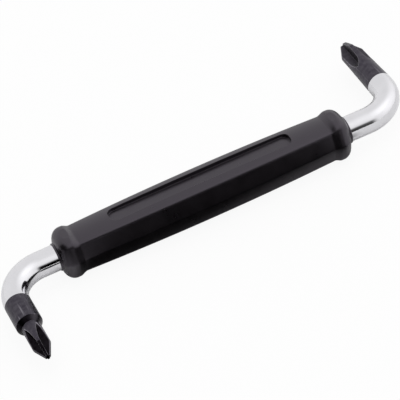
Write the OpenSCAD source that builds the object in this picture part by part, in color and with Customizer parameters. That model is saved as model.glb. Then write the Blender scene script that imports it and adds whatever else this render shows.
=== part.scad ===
// Double-ended offset screwdriver. A round steel bar is bent into a flat Z, each of its two
// arms ends in a cross-recess tip, and a grip is moulded around the straight middle.
// X runs along the grip, Z is square to the plane of the two arms, and the origin is the
// middle of the bar's axis. The small tip points to -Y and the large tip to +Y.

/* [Bar] */
// Diameter of the round bar
bar_d = 6; // [5:0.25:7]
// Distance between the centre lines of the two arms
arm_span = 98.4; // [94:0.2:130]
// Radius of the bends on the centre line
bend_r = 8.5; // [7:0.25:9.5]
// Distance from the bar's axis to the end of each tip
arm_reach = 27; // [25.5:0.25:36]
// Straight plated length between the bend and the small tip
small_plated_run = 0.2; // [0.1:0.1:1]
// Straight plated length between the bend and the large tip
large_plated_run = 1.2; // [0.1:0.1:3]
// Length of the two flats that key the bar into the grip
key_len = 18; // [6:0.5:30]
// Distance across those two flats
key_across = 4.8; // [4:0.1:5.4]

/* [Small tip] */
// Diameter of the small tip's blade
small_blade_d = 4.4; // [3.6:0.1:4.8]
// Length of the small tip's blade, from its shoulder to its end
small_blade_len = 9.5; // [8:0.1:12]
// Length of the cone that steps the bar down to the blade
small_shoulder_len = 1.6; // [0.5:0.1:3]
// Diameter of the small tip's flat end
small_point_d = 1.27; // [1:0.01:1.4]
// Thickness of the core between opposite flutes at the end
small_core_d = 0.54; // [0.4:0.01:0.7]
// Slope of the flute bottoms against the tip's axis, in degrees
small_flute_slope = 7; // [5:0.25:8]
// Straight length of each flute, from the end
small_flute_len = 3.4; // [2:0.1:4.2]
// Radius at which the flutes run out
small_runout_r = 16; // [8:0.5:18]
// Turn of the wings away from Z, in degrees
small_roll = 13; // [0:1:45]

/* [Large tip] */
// Diameter of the large tip's flat end
large_point_d = 2.29; // [2:0.01:2.5]
// Thickness of the core between opposite flutes at the end
large_core_d = 1.12; // [0.9:0.01:1.3]
// Slope of the flute bottoms against the tip's axis, in degrees
large_flute_slope = 5.75; // [4:0.25:7]
// Straight length of each flute, from the end
large_flute_len = 7.2; // [5:0.1:8]
// Radius at which the flutes run out
large_runout_r = 4.6; // [3.6:0.2:7]
// Turn of the wings away from Z, in degrees
large_roll = 2; // [0:1:45]

/* [Both tips] */
// Angle of the wings' outer edges against the tip's axis, in degrees
wing_angle = 26.5; // [24:0.5:32]
// Angle between the two sides of a flute, in degrees
flute_angle = 92; // [88:1:96]

/* [Grip] */
// Length of the grip over its two end lips
grip_len = 72.2; // [66:0.2:74]
// Distance of the grip's middle from the bar's middle, towards the large tip
grip_shift = -0.7; // [-1:0.1:1]
// Height of the grip over its crowned top and bottom, at its middle
crown_h = 10.5; // [9.8:0.02:12]
// Radius of the crown across the top and the bottom
crown_r = 11.4; // [10:0.2:20]
// Width of the grip over its side ridges, at its middle
side_w = 10.48; // [9.8:0.02:13]
// Lean of the side faces from the ridge, in degrees
side_lean = 13.5; // [5:0.5:18]
// How far each side draws in from the middle to a collar
side_draw = 0.56; // [0.2:0.02:1.1]
// How far the crowned top and bottom draw in from the middle to a collar
crown_draw = 0.48; // [0.1:0.02:0.8]
// Radial gap between the bar and the moulded grip
grip_gap = 0.02; // [0.01:0.01:0.05]

/* [Grip ends] */
// How far each collar stands out from the waist's sides
collar_side_lift = 0.4; // [0.2:0.05:0.9]
// How far each collar stands out from the crowned top and bottom
collar_crown_lift = 0.85; // [0.1:0.05:1.2]
// Length of the slope from the waist up to a collar's crest
collar_slope_len = 1.8; // [0.8:0.1:4]
// Length of the level crest of a collar
collar_crest_len = 0.7; // [0.1:0.1:4]
// Radius of the collars' outer ends
collar_round = 2.4; // [0.8:0.1:2.4]
// Height taken off each collar's crest, above and below, as flats to rest on
collar_flat = 0.1; // [0.05:0.01:0.2]
// Length of the thin lip around the bar at each end
lip_len = 0.4; // [0.2:0.05:1]
// Thickness of that lip
lip_wall = 0.25; // [0.15:0.05:0.5]

/* [Label recess] */
// Length of the recess in the top face
recess_len = 44.6; // [20:0.2:50]
// Width of the recess
recess_w = 4.26; // [3.5:0.02:5]
// Radius of the recess's corners
recess_corner_r = 1.7; // [0.5:0.1:1.7]
// Depth of the recess under the crown of the top face
recess_depth = 1.2; // [0.5:0.05:1.3]

/* [Hidden] */

bar_r = bar_d / 2;
arm_x = arm_span / 2;
small_start = bend_r + small_plated_run;
large_start = bend_r + large_plated_run;
// Oversize of a cutting shape past what it cuts
past = 1;

body_len = grip_len - 2 * lip_len;
// Length of a collar, from the waist to its outer end
collar_len = collar_slope_len + collar_crest_len + collar_round;
// Half the length between the two collars, which the bowed sides and crowns span
waist_x = body_len / 2 - collar_len;
// Height of the top crown's centre line, which the bottom crown mirrors
crown_axis_z = crown_h / 2 - crown_r;
// Distance of a side face from the axis, measured square to the face
side_face_d = side_w / 2 * cos(side_lean);
waist_face_d = side_face_d - side_draw;
// Radius across the crowned top and bottom where a collar begins
waist_crown_r = crown_r - crown_draw;
// Straight runs that make up each half of a bow, under half a degree apart
bow_runs = 5;

chrome_colour = [0.86, 0.86, 0.88];
black_steel_colour = [0.27, 0.27, 0.29];
grip_colour = [0.19, 0.19, 0.2];

// Puts a shape drawn along +Z on the small arm, its +Y turned up
module on_small_arm() {
    translate([-arm_x, 0, 0]) rotate([90, 0, 0]) children();
}

// Puts a shape drawn along +Z on the large arm, its +Y turned up
module on_large_arm() {
    translate([arm_x, 0, 0]) rotate([90, 0, 180]) children();
}

// A rod along X, centred on the origin
module rod_along_x(length, radius) {
    rotate([0, 90, 0]) cylinder(h = length, r = radius, center = true, $fn = 96);
}

// One quarter bend, from the grip's axis round to the small arm
module bend() {
    translate([-arm_x + bend_r, -bend_r, 0])
        rotate([0, 0, 90])
            rotate_extrude(angle = 90, $fn = 192)
                translate([bend_r, 0])
                    circle(r = bar_r, $fn = 96);
}

// What the two keying flats take off the bar, as one block above and one below
module key_flat_blocks(across) {
    for (side = [-1, 1])
        translate([-key_len / 2, -bar_d, side > 0 ? across / 2 : -across / 2 - bar_d])
            cube([key_len, 2 * bar_d, bar_d]);
}

module bar() {
    color(chrome_colour)
        difference() {
            union() {
                rod_along_x(arm_span - 2 * bend_r, bar_r);
                bend();
                rotate([0, 0, 180]) bend();
                on_small_arm()
                    translate([0, 0, bend_r])
                        cylinder(h = small_plated_run, r = bar_r, $fn = 96);
                on_large_arm()
                    translate([0, 0, bend_r])
                        cylinder(h = large_plated_run, r = bar_r, $fn = 96);
            }
            key_flat_blocks(key_across);
        }
}

// A wedge with its edge on the Z axis, opening towards +X
module flute_wedge(length, depth) {
    half_w = depth * tan(flute_angle / 2);
    linear_extrude(length)
        polygon([[0, 0], [depth, half_w], [depth, -half_w]]);
}

// One milled flute of a tip that ends at z = 0 and stands on +Z's far side. The wedge is the
// straight part, and the disc is the cutter where it runs out of the blade.
module flute(core_d, slope, straight_len, runout_r, blade_d) {
    depth = min(blade_d, runout_r - 0.1);
    translate([core_d / 2, 0, 0])
        rotate([0, -slope, 0]) {
            translate([0, 0, -straight_len])
                flute_wedge(straight_len + blade_d, blade_d);
            translate([runout_r, 0, -straight_len])
                rotate([90, 0, 0])
                    rotate_extrude($fn = 192)
                        polygon([
                            [runout_r, 0],
                            [runout_r - depth, depth * tan(flute_angle / 2)],
                            [runout_r - depth, -depth * tan(flute_angle / 2)]
                        ]);
        }
}

// The four flutes of a tip whose end is at z = end
module flutes(end, roll, core_d, slope, straight_len, runout_r, blade_d) {
    translate([0, 0, end])
        for (quarter = [0:3])
            rotate([0, 0, 45 + 90 * quarter + roll])
                flute(core_d, slope, straight_len, runout_r, blade_d);
}

module small_tip() {
    blade_r = small_blade_d / 2;
    point_r = small_point_d / 2;
    blade_start = arm_reach - small_blade_len;
    shoulder_start = blade_start - small_shoulder_len;
    cone_start = arm_reach - (blade_r - point_r) / tan(wing_angle);
    color(black_steel_colour)
        on_small_arm()
            difference() {
                rotate_extrude($fn = 96)
                    polygon([
                        [0, small_start],
                        [bar_r, small_start],
                        [bar_r, shoulder_start],
                        [blade_r, blade_start],
                        [blade_r, cone_start],
                        [point_r, arm_reach],
                        [0, arm_reach]
                    ]);
                flutes(arm_reach, small_roll, small_core_d, small_flute_slope,
                       small_flute_len, small_runout_r, small_blade_d);
            }
}

module large_tip() {
    point_r = large_point_d / 2;
    cone_start = arm_reach - (bar_r - point_r) / tan(wing_angle);
    color(black_steel_colour)
        on_large_arm()
            difference() {
                rotate_extrude($fn = 96)
                    polygon([
                        [0, large_start],
                        [bar_r, large_start],
                        [bar_r, cone_start],
                        [point_r, arm_reach],
                        [0, arm_reach]
                    ]);
                flutes(arm_reach, large_roll, large_core_d, large_flute_slope,
                       large_flute_len, large_runout_r, bar_d);
            }
}

// Points along one half of a bowed outline. It stands off the axis by d in the middle and draws in
// by draw where the collars begin.
function bow_points(d, draw, half_len) = [
    for (run = [-bow_runs:bow_runs])
        let (x = half_len * run / bow_runs)
            [x, d - draw * x * x / (waist_x * waist_x)]
];

// Space inside the crowned top and bottom of the body, over a length, bowed along the grip
module crown_lens(length) {
    intersection_for (side = [-1, 1])
        translate([0, 0, side * crown_axis_z])
            rotate([0, 90, 0])
                rotate_extrude($fn = 360)
                    mirror([1, -1, 0])
                        polygon([
                            [-length / 2, 0],
                            each bow_points(crown_r, crown_draw, length / 2),
                            [length / 2, 0]
                        ]);
}

// Space inside the four leaning side faces of the body, over a length, bowed along the grip
module bowed_sides(length) {
    tall = 2 * side_w;
    intersection_for (turn = [0, 180])
        intersection_for (lean = [side_lean, -side_lean])
            rotate([turn + lean, 0, 0])
                translate([0, 0, -tall / 2])
                    linear_extrude(tall)
                        polygon([
                            [-length / 2, -tall],
                            each bow_points(side_face_d, side_draw, length / 2),
                            [length / 2, -tall]
                        ]);
}

// Outline of one collar along X, from its waist end at x = 0. It rises over a slope, runs
// level along the crest and ends in a quarter round. It is filled down to a floor under the
// crest.
module collar_outline(waist_d, crest_d, floor_depth) {
    crest_end = collar_slope_len + collar_crest_len;
    polygon([
        [0, crest_d - floor_depth],
        [crest_end, crest_d - floor_depth],
        [crest_end, crest_d],
        [collar_slope_len, crest_d],
        [0, waist_d]
    ]);
    translate([collar_slope_len, crest_d - floor_depth])
        square([collar_crest_len + collar_round, floor_depth - collar_round]);
    translate([crest_end, crest_d - collar_round])
        circle(r = collar_round, $fn = 64);
}

// The collar at the +X end of the grip. Its crowned top and bottom and its four side faces
// all follow the same outline, and its crest is flat above and below.
module collar() {
    crest_r = waist_crown_r + collar_crown_lift;
    flat_z = crown_axis_z + crest_r - collar_flat;
    crest_face_d = waist_face_d + collar_side_lift;
    tall = 2 * side_w;
    translate([waist_x, 0, 0])
        intersection() {
            intersection_for (side = [-1, 1])
                translate([0, 0, side * crown_axis_z])
                    rotate([0, 90, 0])
                        rotate_extrude($fn = 360)
                            mirror([1, -1, 0])
                                collar_outline(waist_crown_r, crest_r, crest_r);
            intersection_for (turn = [0, 180])
                intersection_for (lean = [side_lean, -side_lean])
                    rotate([turn + lean, 0, 0])
                        translate([0, 0, -tall / 2])
                            linear_extrude(tall)
                                collar_outline(waist_face_d, crest_face_d, 2 * tall);
            translate([-past, -tall, -flat_z])
                cube([collar_len + 2 * past, 2 * tall, 2 * flat_z]);
        }
}

// A flat rectangle with round corners, centred on the origin
module rounded_rectangle(length, width, corner_r) {
    square([length - 2 * corner_r, width], center = true);
    square([length, width - 2 * corner_r], center = true);
    for (x = [-1, 1])
        for (y = [-1, 1])
            translate([x * (length / 2 - corner_r), y * (width / 2 - corner_r)])
                circle(r = corner_r, $fn = 64);
}

module label_recess() {
    translate([0, 0, crown_h / 2 - recess_depth])
        linear_extrude(recess_depth + past)
            rounded_rectangle(recess_len, recess_w, recess_corner_r);
}

// The hole that the bar leaves in the moulding, with its two keying lands
module bar_hole() {
    difference() {
        rod_along_x(grip_len + 2 * past, bar_r + grip_gap);
        translate([-grip_shift, 0, 0]) key_flat_blocks(key_across + 2 * grip_gap);
    }
}

module grip() {
    color(grip_colour)
        translate([grip_shift, 0, 0])
            difference() {
                union() {
                    intersection() {
                        crown_lens(2 * waist_x + collar_slope_len);
                        bowed_sides(2 * waist_x + collar_slope_len);
                    }
                    collar();
                    rotate([0, 0, 180]) collar();
                    rod_along_x(grip_len, bar_r + lip_wall);
                }
                label_recess();
                bar_hole();
            }
}

bar();
small_tip();
large_tip();
grip();
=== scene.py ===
"""Looks of the offset screwdriver: a chromed bar bent into a flat Z, two blackened cross-recess
tips and a moulded black grip. Sizes are in millimetres until a mesh is built, and MM turns
them into metres."""

import math

import bpy
import numpy as np
from mathutils import Matrix, Vector


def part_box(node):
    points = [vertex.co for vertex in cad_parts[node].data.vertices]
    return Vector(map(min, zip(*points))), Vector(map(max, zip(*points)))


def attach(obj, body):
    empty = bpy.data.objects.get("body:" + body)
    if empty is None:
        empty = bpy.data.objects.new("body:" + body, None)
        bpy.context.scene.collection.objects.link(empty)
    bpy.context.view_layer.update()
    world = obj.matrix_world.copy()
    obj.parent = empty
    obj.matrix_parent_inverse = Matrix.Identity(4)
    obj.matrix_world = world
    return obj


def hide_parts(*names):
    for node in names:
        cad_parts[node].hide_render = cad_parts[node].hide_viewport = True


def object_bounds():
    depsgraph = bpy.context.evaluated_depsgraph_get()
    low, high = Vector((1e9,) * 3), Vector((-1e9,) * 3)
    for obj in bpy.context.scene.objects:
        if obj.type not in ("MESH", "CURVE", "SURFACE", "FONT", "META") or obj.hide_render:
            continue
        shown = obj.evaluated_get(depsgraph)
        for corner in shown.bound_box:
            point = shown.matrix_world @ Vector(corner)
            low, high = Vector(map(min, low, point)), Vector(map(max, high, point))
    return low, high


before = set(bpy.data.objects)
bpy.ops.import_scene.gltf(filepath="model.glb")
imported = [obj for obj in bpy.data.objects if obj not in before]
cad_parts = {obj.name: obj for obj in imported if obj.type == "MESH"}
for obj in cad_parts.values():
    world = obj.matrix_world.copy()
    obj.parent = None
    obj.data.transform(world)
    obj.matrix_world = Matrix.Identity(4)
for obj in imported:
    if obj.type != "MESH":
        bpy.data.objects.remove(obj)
cad_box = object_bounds()

MM = 0.001


def node_box_mm(node):
    """Lowest and highest corner of a CAD node, in millimetres."""
    low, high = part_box(node)
    return np.array(low) / MM, np.array(high) / MM


BAR_LOW, BAR_HIGH = node_box_mm("bar")
GRIP_LOW, GRIP_HIGH = node_box_mm("grip")
SMALL_LOW, SMALL_HIGH = node_box_mm("small_tip")
LARGE_LOW, LARGE_HIGH = node_box_mm("large_tip")

BAR_R = BAR_HIGH[2]
ARM_X = BAR_HIGH[0] - BAR_R
BEND_R = 8.5


# ---------------------------------------------------------------- mesh helpers

QUAD_CORNERS = 4


def mesh_object(name, points_mm, faces):
    """An object from points in millimetres, smooth-shaded but for its end caps."""
    mesh = bpy.data.meshes.new(name)
    mesh.from_pydata((np.asarray(points_mm) * MM).tolist(), [], faces)
    mesh.validate()
    mesh.shade_smooth()
    for polygon in mesh.polygons:
        if len(polygon.vertices) > QUAD_CORNERS:
            polygon.use_smooth = False
    obj = bpy.data.objects.new(name, mesh)
    bpy.context.scene.collection.objects.link(obj)
    return obj


def tube_faces(rings, sides, closed):
    """Quads between neighbouring rings of the same number of points."""
    faces = []
    for i in range(rings if closed else rings - 1):
        a = i * sides
        b = (i + 1) % rings * sides
        for j in range(sides):
            k = (j + 1) % sides
            faces.append((a + j, a + k, b + k, b + j))
    return faces


def smooth_step(edge_0, edge_1, value):
    """0 before edge_0, 1 after edge_1, and smooth between them."""
    u = np.clip((value - edge_0) / (edge_1 - edge_0), 0, 1)
    return u * u * (3 - 2 * u)


# ---------------------------------------------------------------- plated bar

BAR_SIDES = 128
BEND_RINGS = 72
MIDDLE_RINGS = 24
# Distance of the last ring but one from each end
END_RING = 0.02


def arc_points(centre, radius, start_deg, end_deg, count):
    """Points and directions along an arc in the plane of the arms."""
    path = []
    for angle in np.radians(np.linspace(start_deg, end_deg, count)):
        turn = 1 if end_deg > start_deg else -1
        point = (centre[0] + radius * math.cos(angle), centre[1] + radius * math.sin(angle))
        along = (-turn * math.sin(angle), turn * math.cos(angle))
        path.append((point, along))
    return path


def bar_path():
    """Centre line of the bar, from the small arm's plating edge to the large arm's."""
    bend_x = ARM_X - BEND_R
    # A second ring close to each end keeps the shading of the last stretch straight
    path = [((-ARM_X, SMALL_HIGH[1]), (0, 1)), ((-ARM_X, SMALL_HIGH[1] + END_RING), (0, 1))]
    path += arc_points((-bend_x, -BEND_R), BEND_R, 180, 90, BEND_RINGS)
    for x in np.linspace(-bend_x, bend_x, MIDDLE_RINGS)[1:-1]:
        path.append(((x, 0), (1, 0)))
    path += arc_points((bend_x, BEND_R), BEND_R, -90, 0, BEND_RINGS)
    path.append(((ARM_X, LARGE_LOW[1] - END_RING), (0, 1)))
    path.append(((ARM_X, LARGE_LOW[1]), (0, 1)))
    return path


def make_bar():
    """The bar as one closed tube along its centre line."""
    points = []
    path = bar_path()
    for (x, y), (dx, dy) in path:
        for turn in np.linspace(0, 2 * math.pi, BAR_SIDES, endpoint=False):
            side = BAR_R * math.cos(turn)
            up = BAR_R * math.sin(turn)
            points.append((x + side * dy, y - side * dx, up))
    faces = tube_faces(len(path), BAR_SIDES, closed=False)
    last = (len(path) - 1) * BAR_SIDES
    faces.append(tuple(range(BAR_SIDES)))
    faces.append(tuple(last + j for j in reversed(range(BAR_SIDES))))
    return mesh_object("plated_bar", points, faces)


# ---------------------------------------------------------------- moulded grip

# Section of the body: crowned top and bottom, two leaning faces on each side
CROWN_HALF = 5.25
CROWN_R = 11.4
SIDE_HALF = 5.24
SIDE_LEAN = math.radians(13.5)
# The body is a slight barrel: how far its faces draw in from the middle to the collars
SIDE_DRAW = 0.56
CROWN_DRAW = 0.48
FLAT_Z = GRIP_HIGH[2] - 0.01

# Collars, measured from their waist end
COLLAR_SIDE_LIFT = 0.4
COLLAR_CROWN_LIFT = 0.85
COLLAR_SLOPE = 1.8
COLLAR_CREST = 0.5
COLLAR_ROUND = 2.6
LIP_LEN = 0.4
LIP_R = BAR_R + 0.25
HOLE_R = BAR_R + 0.02

GRIP_X = (GRIP_LOW[0] + GRIP_HIGH[0]) / 2
BODY_HALF = (GRIP_HIGH[0] - GRIP_LOW[0]) / 2 - LIP_LEN
WAIST_X = BODY_HALF - COLLAR_SLOPE - COLLAR_CREST - COLLAR_ROUND

# Recess in the top face
RECESS_HALF_LEN = 22.3
RECESS_HALF_W = 2.13
RECESS_CORNER = 1.7
RECESS_DEPTH = 1.2
# How far the wall's rounding reaches out of and into the recess's outline
RIM_OUT = 0.04
RIM_IN = 0.1

# How far the rounding of the long edges reaches: on the body, on the collars, and halfway up a side
BODY_EDGE = 0.5
COLLAR_EDGE = 1.2
SIDE_EDGE = 0.12

# The section's radius is searched between these two
SEARCH_LOW = 1.0
SEARCH_HIGH = 9.0
BISECTIONS = 26

# Points across the top: fine at the recess's walls, from WALL_BELOW inside to WALL_PAST outside
WALL_BELOW = 0.36
WALL_PAST = 0.2
WALL_STEP = 0.03
FLOOR_STEP = 0.06
OUTER_STEP = 0.12
TOP_HALF = 3.6
REST_POINTS = 190

# Rings along the grip: fine at the recess's ends, coarser elsewhere
MIDDLE_STEP = 0.6
RECESS_END_STEP = 0.05
OUTER_RING_STEP = 0.5
SLOPE_RINGS = 22
ROUND_RINGS = 40
HOLE_RINGS = 12
# How sharply the collars' ends run into the lips
LIP_BLEND = 24
# How far from the middle the recess can reach, so that only the top face is sunk
SUNK_HALF_W = 3


def rounded_max(a, b, reach):
    """The larger value, blended smoothly where the two are nearer than reach."""
    near = np.maximum(reach - np.abs(a - b), 0)
    return np.maximum(a, b) + near ** 2 / (4 * reach)


def section_radius(angle, side_d, crown_r, edge):
    """Distance of the surface from the grip's axis, for each angle round the section."""
    across = np.abs(np.cos(angle))
    up = np.abs(np.sin(angle))
    # Each crown is a circle whose centre lies beyond the axis by this much
    drop = CROWN_R - CROWN_HALF
    low = np.full_like(angle, SEARCH_LOW)
    high = np.full_like(angle, SEARCH_HIGH)
    for _ in range(BISECTIONS):
        middle = (low + high) / 2
        y = across * middle
        z = up * middle
        side = y * math.cos(SIDE_LEAN) + np.hypot(z, SIDE_EDGE) * math.sin(SIDE_LEAN) - side_d
        crown = np.hypot(y, z + drop) - crown_r
        outside = np.maximum(rounded_max(side, crown, edge), z - FLAT_Z)
        low = np.where(outside < 0, middle, low)
        high = np.where(outside < 0, high, middle)
    return (low + high) / 2


def recess_distance(x, y):
    """Signed distance to the recess's outline, negative inside."""
    dx = np.abs(x) - (RECESS_HALF_LEN - RECESS_CORNER)
    dy = np.abs(y) - (RECESS_HALF_W - RECESS_CORNER)
    outside = np.hypot(np.maximum(dx, 0), np.maximum(dy, 0))
    return outside + np.minimum(np.maximum(dx, dy), 0) - RECESS_CORNER


def section_angles():
    """Angles round the section, close together where the recess's walls are."""
    wall = np.arange(RECESS_HALF_W - WALL_BELOW, RECESS_HALF_W + WALL_PAST, WALL_STEP)
    inner = np.arange(0, RECESS_HALF_W - WALL_BELOW - 0.02, FLOOR_STEP)
    outer = np.arange(RECESS_HALF_W + WALL_PAST + 0.05, TOP_HALF, OUTER_STEP)
    half = np.concatenate([inner, wall, outer])
    y = np.concatenate([-half[:0:-1], half])
    drop = CROWN_R - CROWN_HALF
    z = np.sqrt(CROWN_R ** 2 - y ** 2) - drop
    top = np.arctan2(z, y)[::-1]
    rest = np.linspace(top[-1], top[0] + 2 * math.pi, REST_POINTS)[1:-1]
    return np.concatenate([top, rest])


def grip_stations():
    """Rings along the grip's outside: place along the grip, and how the section differs there."""
    end = RECESS_HALF_LEN
    middle = np.arange(0.5, end - RECESS_CORNER - 0.4, MIDDLE_STEP)
    fine = np.arange(end - RECESS_CORNER - 0.3, end + 0.2, RECESS_END_STEP)
    outer = np.arange(end + 0.4, WAIST_X, OUTER_RING_STEP)
    half = np.concatenate([middle, fine, outer])
    body = []
    for x in np.concatenate([-half[::-1], half]):
        share = (x / WAIST_X) ** 2
        body.append((x, -SIDE_DRAW * share, -CROWN_DRAW * share, BODY_EDGE))
    collar = []
    for u in np.linspace(0, 1, SLOPE_RINGS):
        ease = smooth_step(0, 1, u)
        x = WAIST_X + COLLAR_SLOPE * u
        side = -SIDE_DRAW + COLLAR_SIDE_LIFT * ease
        crown = -CROWN_DRAW + COLLAR_CROWN_LIFT * ease
        edge = BODY_EDGE + (COLLAR_EDGE - BODY_EDGE) * ease
        collar.append((x, side, crown, edge))
    crest_end = WAIST_X + COLLAR_SLOPE + COLLAR_CREST
    for phi in np.radians(np.linspace(0, 90, ROUND_RINGS)):
        x = crest_end + COLLAR_ROUND * math.sin(phi)
        inset = COLLAR_ROUND * (1 - math.cos(phi))
        side = -SIDE_DRAW + COLLAR_SIDE_LIFT - inset
        crown = -CROWN_DRAW + COLLAR_CROWN_LIFT - inset
        collar.append((x, side, crown, COLLAR_EDGE))
    mirrored = [(-x, side, crown, edge) for x, side, crown, edge in reversed(collar)]
    return mirrored + body + collar


def make_grip():
    """The grip as one closed skin: outside, both lips, and the hole for the bar."""
    angles = section_angles()
    rings = []
    side_d = SIDE_HALF * math.cos(SIDE_LEAN)
    for x, side, crown, edge in grip_stations():
        radius = section_radius(angles, side_d + side, CROWN_R + crown, edge)
        # Near the ends the surface runs into the lip round the bar
        radius = (radius ** LIP_BLEND + LIP_R ** LIP_BLEND) ** (1 / LIP_BLEND)
        y = radius * np.cos(angles)
        z = radius * np.sin(angles)
        if abs(x) < RECESS_HALF_LEN + 1:
            inside = recess_distance(np.full_like(y, x), y)
            sunk = smooth_step(RIM_OUT, -RIM_IN, inside)
            floor_z = CROWN_HALF - RECESS_DEPTH
            z = np.where((z > 0) & (np.abs(y) < SUNK_HALF_W), z + (floor_z - z) * sunk, z)
        rings.append(np.stack([np.full_like(y, GRIP_X + x), y, z], -1))
    unit = np.stack([np.zeros_like(angles), np.cos(angles), np.sin(angles)], -1)
    lip_end = BODY_HALF + LIP_LEN

    def round_ring(x, radius):
        return unit * radius + np.array([GRIP_X + x, 0, 0])

    # Place and radius of each ring of a lip, with its outer and inner edges rounded
    lip = [
        (BODY_HALF + 0.12, LIP_R),
        (lip_end - 0.08, LIP_R),
        (lip_end - 0.02, LIP_R - 0.03),
        (lip_end, LIP_R - 0.09),
        (lip_end, HOLE_R + 0.05),
        (lip_end - 0.04, HOLE_R),
    ]
    right = [round_ring(x, radius) for x, radius in lip]
    left = [round_ring(-x, radius) for x, radius in reversed(lip)]
    hole = [round_ring(x, HOLE_R) for x in np.linspace(lip_end - 1, -lip_end + 1, HOLE_RINGS)]
    rings = left + rings + right + hole
    faces = tube_faces(len(rings), len(angles), closed=True)
    faces = [tuple(reversed(face)) for face in faces]
    return mesh_object("moulded_grip", np.concatenate(rings), faces)


# ---------------------------------------------------------------- blackened tips

FLUTE_HALF_ANGLE = math.radians(46)
TIP_SIDES = 288
TIP_STEP = 0.08
# How far the flutes' rims, their bottoms (as an angle) and the turned steps are rounded
RIM_EDGE = 0.1
FLUTE_BOTTOM = 0.07
STEP_EDGE = 0.12
# How near to a flute's rim the blackening is worn off, and how much the side of the small tip's ground
# shoulder that faces +X is lightened towards bare steel, which is painted light and not wear
RIM_WEAR = 0.11
SHOULDER_PAINTED_LIGHT = 0.16
# The smallest sine that closes a flute's side, which keeps its distance finite
LEAST_OPENING = 0.02
# Place and share of the radius of the rings that round and close a tip's end
END_RINGS = ((-0.015, 0.96), (0, 0.88), (0, 0.6), (0, 0.2))

# Places along an arm count from the bar's axis; "side" is the arm's direction along Y
SMALL_TIP = {
    "side": -1,
    "start": -SMALL_HIGH[1],
    "end": -SMALL_LOW[1],
    "shoulder": 15.9,
    "shoulder_len": 1.0,
    "ground_shoulder": True,
    "blade_r": 2.1,
    "point_r": 0.6,
    "cone_len": 3.75,
    "core": 0.85,
    "slope": math.radians(5),
    "flute_len": 3.9,
    "runout_r": 16,
    "roll": math.radians(10),
}
LARGE_TIP = {
    "side": 1,
    "start": LARGE_LOW[1],
    "end": LARGE_HIGH[1],
    "shoulder": LARGE_LOW[1],
    "shoulder_len": 6.0,
    "ground_shoulder": False,
    "blade_r": 2.78,
    "point_r": 1.145,
    "cone_len": 3.72,
    "core": 1.6,
    "slope": math.radians(3.5),
    "flute_len": 7.5,
    "runout_r": 4.6,
    "roll": math.radians(2),
}


def turned_radius(tip, along):
    """Radius of the tip before its flutes are milled, at a distance from the bar's axis."""
    shoulder = BAR_R - (along - tip["shoulder"]) * (BAR_R - tip["blade_r"]) / tip["shoulder_len"]
    cone = tip["point_r"] + (tip["end"] - along) * (tip["blade_r"] - tip["point_r"]) / tip["cone_len"]
    blade = -rounded_max(-BAR_R, -rounded_max(shoulder, tip["blade_r"], STEP_EDGE), STEP_EDGE)
    return -rounded_max(-blade, -cone, STEP_EDGE)


def flute_radius(tip, along, angle):
    """Distance of the nearest flute's side from the axis, in each direction round the tip."""
    depth_in = tip["end"] - along
    curved = np.clip(depth_in - tip["flute_len"], 0, tip["runout_r"] - 0.01)
    bottom = tip["core"] / 2 + depth_in * math.tan(tip["slope"])
    bottom += tip["runout_r"] - math.sqrt(tip["runout_r"] ** 2 - curved ** 2)
    quarter = math.pi / 2
    from_flute = np.abs((angle - tip["roll"]) % quarter - quarter / 2)
    from_flute = np.hypot(from_flute, FLUTE_BOTTOM) - FLUTE_BOTTOM
    opening = np.sin(np.maximum(FLUTE_HALF_ANGLE - from_flute, LEAST_OPENING))
    return bottom * math.sin(FLUTE_HALF_ANGLE) / opening


def make_tip(tip, name):
    """A turned tip with four milled flutes, built as rings round the arm's axis."""
    angle = np.linspace(0, 2 * math.pi, TIP_SIDES, endpoint=False)
    rings = []
    milled = []
    wear_and_painted_light = []
    stations = np.append(np.arange(tip["start"], tip["end"] - 0.05, TIP_STEP), tip["end"] - 0.04)
    for along in stations:
        flute = flute_radius(tip, along, angle)
        turned = turned_radius(tip, along)
        rings.append((along, -rounded_max(-turned, -flute, RIM_EDGE)))
        on_shoulder = tip["shoulder"] < along < tip["shoulder"] + tip["shoulder_len"]
        on_shoulder = on_shoulder and tip["ground_shoulder"]
        on_cone = along > tip["end"] - tip["cone_len"]
        milled.append((flute < turned) | on_shoulder | on_cone)
        wear_and_painted_light.append(np.exp(-((flute - turned) / RIM_WEAR) ** 2))
        # On a ground shoulder one side is lightened towards bare steel: painted light, not wear. The
        # attribute holds both real rim wear and this painted light
        if on_shoulder:
            wear_and_painted_light[-1] = wear_and_painted_light[-1] + SHOULDER_PAINTED_LIGHT * smooth_step(0.0, 0.7, np.cos(angle))
    last = rings[-1][1]
    for along, share in END_RINGS:
        rings.append((tip["end"] + along, last * share))
        milled.append(milled[-1])
        wear_and_painted_light.append(wear_and_painted_light[-1] * 0)
    points = []
    for along, radius in rings:
        x = tip["side"] * (ARM_X - radius * np.cos(angle))
        points.append(np.stack([x, np.full_like(x, tip["side"] * along), radius * np.sin(angle)], -1))
    faces = tube_faces(len(rings), TIP_SIDES, closed=False)
    first_cap = tuple(reversed(range(TIP_SIDES)))
    last_cap = tuple((len(rings) - 1) * TIP_SIDES + j for j in range(TIP_SIDES))
    faces += [first_cap, last_cap]
    obj = mesh_object(name, np.concatenate(points), faces)
    finish = np.concatenate([np.concatenate(milled[:-1]), [False, True]]).astype(np.int32)
    obj.data.polygons.foreach_set("material_index", finish)
    worn_and_lit = obj.data.attributes.new("wear_and_painted_light", "FLOAT", "POINT")
    worn_and_lit.data.foreach_set("value", np.concatenate(wear_and_painted_light).astype(np.float32))
    return obj


# ---------------------------------------------------------------- materials

# Darkest and lightest colour of each finish
CHROME_LOW = (0.715, 0.71, 0.735)
CHROME_HIGH = (0.755, 0.75, 0.775)
PLASTIC_LOW = (0.0035, 0.0028, 0.0033)
PLASTIC_HIGH = (0.0055, 0.0045, 0.0052)
PLASTIC_SHEEN = (0.94, 0.85, 1.0)
PLASTIC_IOR = 1.7

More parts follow.
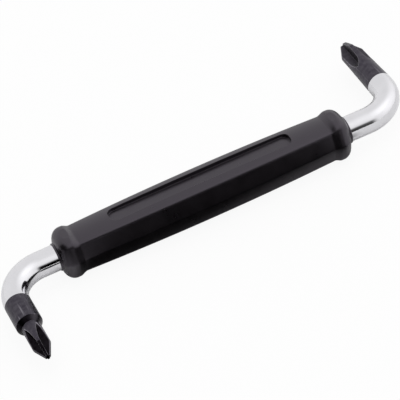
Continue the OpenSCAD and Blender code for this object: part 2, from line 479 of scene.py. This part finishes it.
# Blackened finishes: darkest and lightest colour, colour of the bare steel where the blackening
# is worn, how strong the scratches are, and the least roughness
TURNED_FINISH = {
    "low": (0.044, 0.039, 0.052),
    "high": (0.086, 0.079, 0.095),
    "rim": (0.36, 0.34, 0.38),
    "scratches": 0.75,
    "roughness": 0.3,
}
# The milled faces, on the flutes, the cone and the small tip's ground shoulder, are darker than the
# turned ones. This is partly their own finish and partly painted shade in the flutes and on the
# shoulder, most of all on the small tip
SMALL_MILLED_SHADED_FINISH = {
    "low": (0.003, 0.002, 0.003),
    "high": (0.012, 0.01, 0.013),
    "rim": (0.3, 0.28, 0.32),
    "scratches": 0.0,
    "roughness": 0.25,
}
LARGE_MILLED_SHADED_FINISH = {
    "low": (0.03, 0.026, 0.034),
    "high": (0.055, 0.05, 0.062),
    "rim": (0.2, 0.19, 0.215),
    "scratches": 0.0,
    "roughness": 0.3,
}


def math_node(nodes, links, operation, a, b=None):
    """A Math node over sockets or plain numbers."""
    node = nodes.new("ShaderNodeMath")
    node.operation = operation
    for socket, value in zip(node.inputs, (a, b)):
        if isinstance(value, bpy.types.NodeSocket):
            links.new(value, socket)
        elif value is not None:
            socket.default_value = value
    return node.outputs["Value"]


def new_material(name):
    """A material, its nodes and links, and its Principled shader."""
    material = bpy.data.materials.new(name)
    material.use_nodes = True
    nodes = material.node_tree.nodes
    shader = next(n for n in nodes if n.type == "BSDF_PRINCIPLED")
    return material, nodes, material.node_tree.links, shader


def noise_texture(nodes, links, scale, detail, stretch=(1, 1, 1)):
    """Noise over the object's own coordinates; scale counts per metre."""
    where = nodes.new("ShaderNodeTexCoord")
    mapping = nodes.new("ShaderNodeMapping")
    mapping.inputs["Scale"].default_value = stretch
    noise = nodes.new("ShaderNodeTexNoise")
    noise.inputs["Scale"].default_value = scale
    noise.inputs["Detail"].default_value = detail
    links.new(where.outputs["Object"], mapping.inputs["Vector"])
    links.new(mapping.outputs["Vector"], noise.inputs["Vector"])
    return noise.outputs["Fac"]


def spread(nodes, links, value, low, high, from_low=0.3, from_high=0.7):
    """Maps a noise value to a range."""
    ranged = nodes.new("ShaderNodeMapRange")
    ranged.inputs["From Min"].default_value = from_low
    ranged.inputs["From Max"].default_value = from_high
    ranged.inputs["To Min"].default_value = low
    ranged.inputs["To Max"].default_value = high
    links.new(value, ranged.inputs["Value"])
    return ranged.outputs["Result"]


def colour_ramp(nodes, links, value, low, high):
    """A ramp between two colours over the middle of a noise."""
    ramp = nodes.new("ShaderNodeValToRGB")
    ramp.color_ramp.elements[0].position = 0.3
    ramp.color_ramp.elements[0].color = (*low, 1)
    ramp.color_ramp.elements[1].position = 0.7
    ramp.color_ramp.elements[1].color = (*high, 1)
    links.new(value, ramp.inputs["Fac"])
    return ramp.outputs["Color"]


def bump(nodes, links, shader, height, strength, distance):
    """Feeds a height into the shader's normal."""
    node = nodes.new("ShaderNodeBump")
    node.inputs["Strength"].default_value = strength
    node.inputs["Distance"].default_value = distance
    links.new(height, node.inputs["Height"])
    links.new(node.outputs["Normal"], shader.inputs["Normal"])


def chrome_material():
    """Bright plating with faint cloudiness and polishing grain."""
    material, nodes, links, shader = new_material("bright_chrome")
    shader.inputs["Metallic"].default_value = 1.0
    patch = noise_texture(nodes, links, 260, 4)
    clouded = colour_ramp(nodes, links, patch, CHROME_LOW, CHROME_HIGH)
    links.new(clouded, shader.inputs["Base Color"])
    links.new(spread(nodes, links, patch, 0.05, 0.11), shader.inputs["Roughness"])
    grain = noise_texture(nodes, links, 1500, 3, (0.25, 1, 1))
    bump(nodes, links, shader, grain, 0.05, 0.00002)
    return material


def blackened_material(name, low, high, rim, scratches, roughness):
    """Blackened steel, whose blackening is worn off along the flutes' rims and scratched, and which is
    lightened on one side of a ground shoulder as painted light.
    """
    material, nodes, links, shader = new_material(name)
    shader.inputs["Metallic"].default_value = 1.0
    patch = noise_texture(nodes, links, 900, 6)
    blackened = colour_ramp(nodes, links, patch, low, high)
    wear_and_painted_light = nodes.new("ShaderNodeAttribute")
    wear_and_painted_light.attribute_name = "wear_and_painted_light"
    uneven = spread(nodes, links, patch, 0.5, 1.0)
    worn_and_lit = math_node(nodes, links, "MULTIPLY", wear_and_painted_light.outputs["Fac"], uneven)
    scratch = noise_texture(nodes, links, 1500, 5, (1, 0.06, 1))
    scratched = spread(nodes, links, scratch, 0.0, scratches, 0.6, 0.74)
    # Share of bare steel: real wear on the rims and scratches, and painted light on one side of a ground
    # shoulder
    bare_and_lit = math_node(nodes, links, "MAXIMUM", worn_and_lit, scratched)
    mix = nodes.new("ShaderNodeMix")
    mix.data_type = "RGBA"
    colours = [socket for socket in mix.inputs if socket.type == "RGBA"]
    links.new(bare_and_lit, mix.inputs["Factor"])
    links.new(blackened, colours[0])
    colours[1].default_value = (*rim, 1)
    mixed = next(socket for socket in mix.outputs if socket.type == "RGBA")
    links.new(mixed, shader.inputs["Base Color"])
    links.new(spread(nodes, links, patch, roughness, roughness + 0.1), shader.inputs["Roughness"])
    grain = noise_texture(nodes, links, 5000, 3)
    bump(nodes, links, shader, grain, 0.15, 0.00003)
    return material


def plastic_material():
    """Black satin plastic with a fine moulded grain."""
    material, nodes, links, shader = new_material("moulded_black_plastic")
    shader.inputs["IOR"].default_value = PLASTIC_IOR
    shader.inputs["Specular IOR Level"].default_value = 0.5
    shader.inputs["Specular Tint"].default_value = (*PLASTIC_SHEEN, 1)
    patch = noise_texture(nodes, links, 300, 5)
    clouded = colour_ramp(nodes, links, patch, PLASTIC_LOW, PLASTIC_HIGH)
    links.new(clouded, shader.inputs["Base Color"])
    links.new(spread(nodes, links, patch, 0.27, 0.36), shader.inputs["Roughness"])
    grain = noise_texture(nodes, links, 7000, 2)
    bump(nodes, links, shader, grain, 0.2, 0.00002)
    return material


# ---------------------------------------------------------------- stage

CAMERA_AZIMUTH = math.radians(-15.93)
CAMERA_ELEVATION = math.radians(41.68)
CAMERA_ROLL = math.radians(-13.04)
CAMERA_DISTANCE = 0.436273
FOCAL_PIXELS = 1959.22
IMAGE_PIXELS = 400
SENSOR_MM = 36
# Where the camera's axis passes the origin, along the picture's width and height
AIM_RIGHT = -0.001456
AIM_UP = -0.001938

TENT_LEVEL = 0.93
LAMP_WATTS = 1.2
LAMP_SIZE = 0.6
LAMP_PLACE = (0.1, 0.15, 0.9)

# Parts of the tent by azimuth, from -Y towards +X, and by elevation, both in degrees: the
# middle, how far from it the part is full, and how far from it the part is gone
OPENING_AZIMUTH = (-28, 42, 64)
OPENING_ELEVATION = (9, 10, 27)
LEFT_AZIMUTH = (-80, 30, 55)
LEFT_ELEVATION = (24, 22, 38)
RIGHT_AZIMUTH = (85, 10, 66)
RIGHT_ELEVATION = (35, 8, 52)
RIGHT_GLOW = 0.32
ABOVE_AZIMUTH = (50, 30, 80)
ABOVE_ELEVATION = (55, 5, 28)
ABOVE_GLOW = 0.16

# How much of the floor's white is its own to the camera, and how much of its bounce is lost
FLOOR_GLOW = 0.92
FLOOR_DIM = 0.75

# The black cards on the floor, each with its middle, full within and gone at along X and Y:
# one before the grip, whose sides and near edge lean, and one before the small arm. They are seen only
# in reflections, and the grip card's near edge, close to the grip, is painted shade for the floor's
# shadow there
GRIP_CARD_X = (1, 32, 38)
GRIP_CARD_Y = (-503, 496.5, 500)
GRIP_CARD_LEAN_X = 0.22
GRIP_CARD_LEAN_Y = 0.04
ARM_CARD_X = (-50, 20, 25)
ARM_CARD_Y = (-513, 487, 493)
CARD_REACH = 900
CARD_LIFT = 0.05
FLOOR_REACH = 2000.0


def make_camera():
    """The camera at the photograph's viewing angle."""
    back = Vector((
        math.sin(CAMERA_AZIMUTH) * math.cos(CAMERA_ELEVATION),
        -math.cos(CAMERA_AZIMUTH) * math.cos(CAMERA_ELEVATION),
        math.sin(CAMERA_ELEVATION),
    ))
    right = Vector((0, 0, 1)).cross(back).normalized()
    up = back.cross(right)
    turned_right = right * math.cos(CAMERA_ROLL) + up * math.sin(CAMERA_ROLL)
    turned_up = up * math.cos(CAMERA_ROLL) - right * math.sin(CAMERA_ROLL)
    place = back * CAMERA_DISTANCE + turned_right * AIM_RIGHT + turned_up * AIM_UP
    data = bpy.data.cameras.new("camera")
    data.sensor_width = SENSOR_MM
    data.lens = FOCAL_PIXELS * SENSOR_MM / IMAGE_PIXELS
    data.clip_start = 0.01
    camera = bpy.data.objects.new("camera", data)
    rotation = Matrix((turned_right, turned_up, back)).transposed().to_4x4()
    camera.matrix_world = Matrix.Translation(place) @ rotation
    bpy.context.scene.collection.objects.link(camera)
    bpy.context.scene.camera = camera


def make_floor():
    """A pale floor that the camera sees as near white, with the object's shadow kept."""
    reach = FLOOR_REACH
    z = cad_box[0][2] / MM
    corners = [(-reach, -reach, z), (reach, -reach, z), (reach, reach, z), (-reach, reach, z)]
    floor = mesh_object("floor", corners, [(0, 1, 2, 3)])
    material, nodes, links, shader = new_material("pale_floor")
    shader.inputs["Base Color"].default_value = (0.9, 0.9, 0.9, 1)
    shader.inputs["Roughness"].default_value = 0.9
    shader.inputs["Specular IOR Level"].default_value = 0.0
    glow = nodes.new("ShaderNodeEmission")
    path = nodes.new("ShaderNodeLightPath")
    output = next(n for n in nodes if n.type == "OUTPUT_MATERIAL")
    seen = math_node(nodes, links, "MULTIPLY", path.outputs["Is Camera Ray"], FLOOR_GLOW)
    light = nodes.new("ShaderNodeMixShader")
    links.new(seen, light.inputs["Fac"])
    links.new(shader.outputs["BSDF"], light.inputs[1])
    links.new(glow.outputs["Emission"], light.inputs[2])
    # Little of the floor's light bounces back up, as over a dark bench
    kept = math_node(nodes, links, "MULTIPLY", path.outputs["Is Diffuse Ray"], FLOOR_DIM)
    dark = nodes.new("ShaderNodeEmission")
    dark.inputs["Strength"].default_value = 0.0
    mix = nodes.new("ShaderNodeMixShader")
    links.new(kept, mix.inputs["Fac"])
    links.new(light.outputs["Shader"], mix.inputs[1])
    links.new(dark.outputs["Emission"], mix.inputs[2])
    links.new(mix.outputs["Shader"], output.inputs["Surface"])
    floor.data.materials.append(material)


def window_share(nodes, links, value, middle, inner, outer):
    """1 within inner of the middle, falling smoothly to 0 at outer."""
    away = math_node(nodes, links, "ABSOLUTE", math_node(nodes, links, "SUBTRACT", value, middle))
    ranged = nodes.new("ShaderNodeMapRange")
    ranged.interpolation_type = "SMOOTHSTEP"
    ranged.inputs["From Min"].default_value = inner
    ranged.inputs["From Max"].default_value = outer
    ranged.inputs["To Min"].default_value = 1.0
    ranged.inputs["To Max"].default_value = 0.0
    links.new(away, ranged.inputs["Value"])
    return ranged.outputs["Result"]


def soft_rectangle(nodes, links, x, y, x_window, y_window):
    """1 within a rectangle whose windows are in millimetres, with soft edges."""
    across = window_share(nodes, links, x, *(value * MM for value in x_window))
    along = window_share(nodes, links, y, *(value * MM for value in y_window))
    return math_node(nodes, links, "MULTIPLY", across, along)


def make_card():
    """Two soft-edged black cards on the floor, as studios use by glossy things, on one sheet, seen only
    in reflections; by the grip they are also painted shade for the floor's shadow there.
    """
    z = cad_box[0][2] / MM + CARD_LIFT
    reach = CARD_REACH
    corners = [(-reach, -reach, z), (reach, -reach, z), (reach, 0, z), (-reach, 0, z)]
    card = mesh_object("black_card", corners, [(0, 1, 2, 3)])
    material, nodes, links, shader = new_material("card_black")
    shader.inputs["Base Color"].default_value = (0.01, 0.01, 0.01, 1)
    shader.inputs["Specular IOR Level"].default_value = 0.0
    where = nodes.new("ShaderNodeTexCoord")
    parts = nodes.new("ShaderNodeSeparateXYZ")
    links.new(where.outputs["Object"], parts.inputs["Vector"])
    x, y = parts.outputs["X"], parts.outputs["Y"]
    x_lean = math_node(nodes, links, "MULTIPLY", y, GRIP_CARD_LEAN_X)
    y_lean = math_node(nodes, links, "MULTIPLY", x, GRIP_CARD_LEAN_Y)
    x_leant = math_node(nodes, links, "ADD", x, x_lean)
    y_leant = math_node(nodes, links, "ADD", y, y_lean)
    # Close to the grip this card is painted shade in the floor's reflection
    by_grip = soft_rectangle(nodes, links, x_leant, y_leant, GRIP_CARD_X, GRIP_CARD_Y)
    by_arm = soft_rectangle(nodes, links, x, y, ARM_CARD_X, ARM_CARD_Y)
    links.new(math_node(nodes, links, "MAXIMUM", by_grip, by_arm), shader.inputs["Alpha"])
    card.data.materials.append(material)
    card.visible_camera = False
    card.visible_diffuse = False
    card.visible_shadow = False


def tent_part(nodes, links, azimuth, elevation, azimuth_window, elevation_window):
    """A soft-edged patch of the tent, 1 in its middle and 0 outside."""
    first = window_share(nodes, links, azimuth, *np.radians(azimuth_window).tolist())
    second = window_share(nodes, links, elevation, *np.radians(elevation_window).tolist())
    return math_node(nodes, links, "MULTIPLY", first, second)


def make_world():
    """A white light tent that is open to the dark room on the camera's side."""
    world = bpy.data.worlds.new("studio")
    world.use_nodes = True
    nodes = world.node_tree.nodes
    links = world.node_tree.links
    background = next(n for n in nodes if n.type == "BACKGROUND")
    background.inputs["Color"].default_value = (1, 1, 1, 1)
    where = nodes.new("ShaderNodeTexCoord")
    parts = nodes.new("ShaderNodeSeparateXYZ")
    links.new(where.outputs["Generated"], parts.inputs["Vector"])
    x, y, z = (parts.outputs[axis] for axis in "XYZ")
    front = math_node(nodes, links, "MULTIPLY", y, -1.0)
    azimuth = math_node(nodes, links, "ARCTAN2", x, front)
    elevation = math_node(nodes, links, "ARCSINE", z)
    opening = tent_part(nodes, links, azimuth, elevation, OPENING_AZIMUTH, OPENING_ELEVATION)
    left = tent_part(nodes, links, azimuth, elevation, LEFT_AZIMUTH, LEFT_ELEVATION)
    opening = math_node(nodes, links, "MAXIMUM", opening, left)
    right = tent_part(nodes, links, azimuth, elevation, RIGHT_AZIMUTH, RIGHT_ELEVATION)
    above = tent_part(nodes, links, azimuth, elevation, ABOVE_AZIMUTH, ABOVE_ELEVATION)
    level = math_node(nodes, links, "SUBTRACT", 1.0, opening)
    level = math_node(nodes, links, "MULTIPLY", level, TENT_LEVEL)
    level = math_node(nodes, links, "ADD", level, math_node(nodes, links, "MULTIPLY", right, RIGHT_GLOW))
    level = math_node(nodes, links, "ADD", level, math_node(nodes, links, "MULTIPLY", above, ABOVE_GLOW))
    path = nodes.new("ShaderNodeLightPath")
    seen = path.outputs["Is Camera Ray"]
    hidden = math_node(nodes, links, "SUBTRACT", 1.0, seen)
    level = math_node(nodes, links, "ADD", math_node(nodes, links, "MULTIPLY", level, hidden), seen)
    links.new(level, background.inputs["Strength"])
    bpy.context.scene.world = world


def make_lamp():
    """One large soft lamp overhead, which gives the floor its soft shadow."""
    data = bpy.data.lights.new("overhead", "AREA")
    data.shape = "DISK"
    data.size = LAMP_SIZE
    data.energy = LAMP_WATTS
    light = bpy.data.objects.new("overhead", data)
    light.location = LAMP_PLACE
    light.rotation_euler = (-light.location).to_track_quat("-Z", "Y").to_euler()
    light.visible_glossy = False
    bpy.context.scene.collection.objects.link(light)


# ---------------------------------------------------------------- assembly

bpy.context.scene.view_settings.view_transform = "Standard"

chrome = chrome_material()
turned_black = blackened_material("blackened_steel", **TURNED_FINISH)
# The milled finishes carry painted shade in the flutes and on the small tip's shoulder
small_milled_shaded = blackened_material("deep_black_steel_painted_shade", **SMALL_MILLED_SHADED_FINISH)
large_milled_shaded = blackened_material("milled_black_steel_painted_shade", **LARGE_MILLED_SHADED_FINISH)
plastic = plastic_material()

bar = make_bar()
small_tip = make_tip(SMALL_TIP, "small_cross_tip")
large_tip = make_tip(LARGE_TIP, "large_cross_tip")
grip = make_grip()

for piece, node, materials, slot in (
    (bar, "bar", (chrome,), "plated_steel"),
    (small_tip, "small_tip", (turned_black, small_milled_shaded), "blackened_steel"),
    (large_tip, "large_tip", (turned_black, large_milled_shaded), "blackened_steel"),
    (grip, "grip", (plastic,), "moulded_grip"),
):
    for material in materials:
        piece.data.materials.append(material)
    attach(piece, "root")
    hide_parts(node)

make_camera()
make_floor()
make_card()
make_world()
make_lamp()
